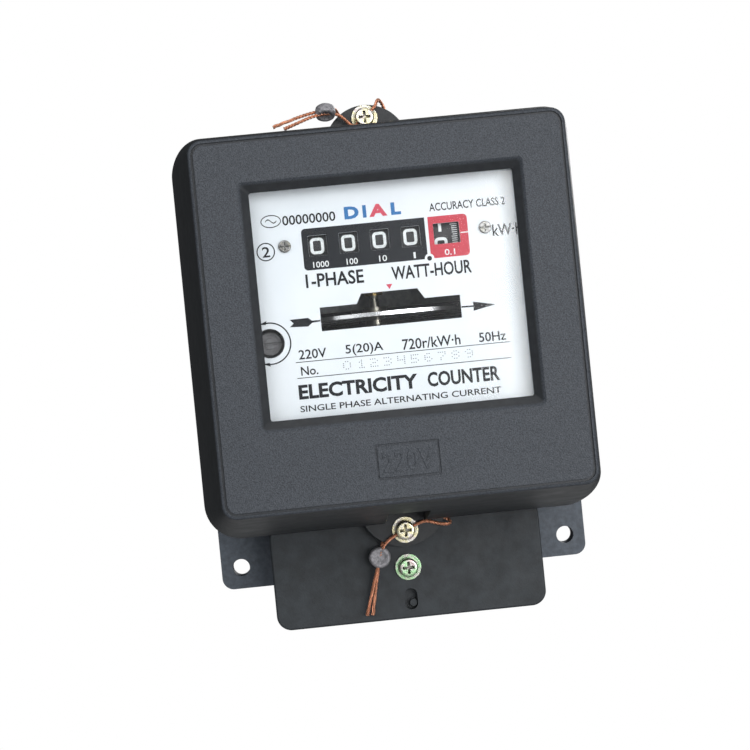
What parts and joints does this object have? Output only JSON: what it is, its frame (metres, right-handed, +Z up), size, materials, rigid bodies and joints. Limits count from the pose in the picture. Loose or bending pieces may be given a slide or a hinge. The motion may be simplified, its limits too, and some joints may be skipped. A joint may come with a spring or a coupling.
{
  "type": "dial electricity meter",
  "caption": "Wall-hung single-phase induction energy meter: flared square case with a window, number drums, spinning disc, terminal hood and lead-sealed screws.",
  "frame": {"origin": "on the wall plane, behind the centre of the square front plate", "axes": "+X to the right and +Z up as the meter hangs, seen from its front; +Y into the wall, so that the front faces -Y"},
  "size_m": [0.132, 0.113, 0.1764],
  "materials": {
    "cover_grey": "fine textured moulding",
    "base_grey": "fine textured moulding",
    "terminal_grey": "satin moulding",
    "block_black": "moulded",
    "gasket_rubber": "soft",
    "window_glass": "clear",
    "retainer_black": "moulded",
    "zinc_steel": "zinc plated",
    "screw_zinc": "yellowish zinc plated",
    "screw_steel": "nickel plated",
    "brass": "turned",
    "cast_aluminium": "die cast",
    "core_steel": "laminated, varnished",
    "bobbin_plastic": "moulded",
    "winding_tape": "varnished tape",
    "copper": "enamelled or bare copper",
    "disc_aluminium": "turned, bright rim",
    "steel_shaft": "ground",
    "magnet": "cast",
    "drum_black": "moulded, printed numbers",
    "drum_red": "moulded, printed numbers",
    "gear_plastic": "moulded",
    "register_aluminium": "pressed",
    "dial_paint": "satin print",
    "seal_lead": "soft pressed lead",
    "seal_copper": "bare twisted copper"
  },
  "bodies": {
    "meter": {"base": "base_grey", "brake_magnets": "magnet", "brake_yoke": "zinc_steel", "carry_shaft": "steel_shaft", "core_screws": "screw_steel", "counter_pole": "core_steel", "cover_gasket": "gasket_rubber", "cover_screws": "screw_zinc", "current_coil_left": "copper", "current_coil_right": "copper", "current_core": "core_steel", "current_leads": "copper", "dial_plate": "dial_paint", "dial_screws": "screw_steel", "drum_shaft": "steel_shaft", "frame_screws": "screw_steel", "front_cover": "cover_grey", "hanger_plate": "zinc_steel", "hanger_screws": "zinc_steel", "lever_screw": "screw_steel", "lower_bearing": "brass", "lower_seal": "seal_lead", "lower_seal_wire_a": "seal_copper", "lower_seal_wire_b": "seal_copper", "mechanism_frame": "cast_aluminium", "movement_screws": "screw_steel", "neutral_bridge": "brass", "register_frame": "register_aluminium", "terminal_block": "block_black", "terminal_cover": "terminal_grey", "terminal_cover_screw": "screw_zinc", "terminal_screws": "screw_steel", "terminals": "brass", "threaded_inserts": "brass", "upper_bearing": "brass", "upper_seal": "seal_lead", "upper_seal_wire_a": "seal_copper", "upper_seal_wire_b": "seal_copper", "voltage_bobbin": "bobbin_plastic", "voltage_core": "core_steel", "voltage_winding": "winding_tape", "window_gasket": "gasket_rubber", "window_glass": "window_glass", "window_retainer": "retainer_black"},
    "rotor": {"rotor_disc": "disc_aluminium", "rotor_spindle": "steel_shaft", "creep_hook": "brass"},
    "wheel": {"worm_wheel": "brass"},
    "idler": {"idler_gear": "brass"},
    "drum_thousands": {"drum_thousands": "drum_black"},
    "drum_hundreds": {"drum_hundreds": "drum_black"},
    "drum_tens": {"drum_tens": "drum_black"},
    "drum_units": {"drum_units": "drum_black"},
    "drum_tenths": {"drum_tenths": "drum_red"},
    "carry_1": {"carry_pinion_1": "gear_plastic"},
    "carry_2": {"carry_pinion_2": "gear_plastic"},
    "carry_3": {"carry_pinion_3": "gear_plastic"},
    "carry_4": {"carry_pinion_4": "gear_plastic"},
    "adjuster": {"full_load_adjuster": "zinc_steel"},
    "lever": {"light_load_lever": "brass"}
  },
  "joints": [
    {"name": "rotor_spin", "type": "hinge", "parent": "meter", "child": "rotor", "pos_m": [-0.0035, -0.058, 0], "axis": [0, 0, 1], "continuous": true},
    {"name": "wheel_spin", "type": "hinge", "parent": "meter", "child": "wheel", "pos_m": [0, -0.0711, 0.033], "axis": [1, 0, 0], "continuous": true},
    {"name": "idler_spin", "type": "hinge", "parent": "meter", "child": "idler", "pos_m": [0.026, -0.08281, 0.03037], "axis": [1, 0, 0], "continuous": true},
    {"name": "thousands_spin", "type": "hinge", "parent": "meter", "child": "drum_thousands", "pos_m": [-0.02055, -0.0922, 0.0229], "axis": [1, 0, 0], "continuous": true},
    {"name": "hundreds_spin", "type": "hinge", "parent": "meter", "child": "drum_hundreds", "pos_m": [-0.0111, -0.0922, 0.0229], "axis": [1, 0, 0], "continuous": true},
    {"name": "tens_spin", "type": "hinge", "parent": "meter", "child": "drum_tens", "pos_m": [-0.00165, -0.0922, 0.0229], "axis": [1, 0, 0], "continuous": true},
    {"name": "units_spin", "type": "hinge", "parent": "meter", "child": "drum_units", "pos_m": [0.0078, -0.0922, 0.0229], "axis": [1, 0, 0], "continuous": true},
    {"name": "tenths_spin", "type": "hinge", "parent": "meter", "child": "drum_tenths", "pos_m": [0.01725, -0.0922, 0.0229], "axis": [1, 0, 0], "continuous": true},
    {"name": "carry_1_spin", "type": "hinge", "parent": "meter", "child": "carry_1", "pos_m": [-0.01655, -0.08403, 0.01473], "axis": [1, 0, 0], "continuous": true},
    {"name": "carry_2_spin", "type": "hinge", "parent": "meter", "child": "carry_2", "pos_m": [-0.0071, -0.08403, 0.01473], "axis": [1, 0, 0], "continuous": true},
    {"name": "carry_3_spin", "type": "hinge", "parent": "meter", "child": "carry_3", "pos_m": [0.00235, -0.08403, 0.01473], "axis": [1, 0, 0], "continuous": true},
    {"name": "carry_4_spin", "type": "hinge", "parent": "meter", "child": "carry_4", "pos_m": [0.0118, -0.08403, 0.01473], "axis": [1, 0, 0], "continuous": true},
    {"name": "adjuster_turn", "type": "hinge", "parent": "meter", "child": "adjuster", "pos_m": [-0.0378, -0.09, -0.0053], "axis": [0, -1, 0], "range_deg": [-90, 90]},
    {"name": "lever_turn", "type": "hinge", "parent": "meter", "child": "lever", "pos_m": [-0.02, -0.0489, 0.012], "axis": [0, -1, 0], "range_deg": [-12, 12]}
  ],
  "couplings": [
    {"joint": "wheel_spin", "follows": "rotor_spin", "ratio": 0.016667},
    {"joint": "idler_spin", "follows": "rotor_spin", "ratio": -0.0041667},
    {"joint": "tenths_spin", "follows": "rotor_spin", "ratio": 0.0013889},
    {"joint": "units_spin", "follows": "rotor_spin", "ratio": 0.00013889},
    {"joint": "tens_spin", "follows": "rotor_spin", "ratio": 0.000013889},
    {"joint": "hundreds_spin", "follows": "rotor_spin", "ratio": 0.0000013889},
    {"joint": "thousands_spin", "follows": "rotor_spin", "ratio": 0.00000013889},
    {"joint": "carry_1_spin", "follows": "rotor_spin", "ratio": -0.00000034722},
    {"joint": "carry_2_spin", "follows": "rotor_spin", "ratio": -0.0000034722},
    {"joint": "carry_3_spin", "follows": "rotor_spin", "ratio": -0.000034722},
    {"joint": "carry_4_spin", "follows": "rotor_spin", "ratio": -0.00034722}
  ]
}
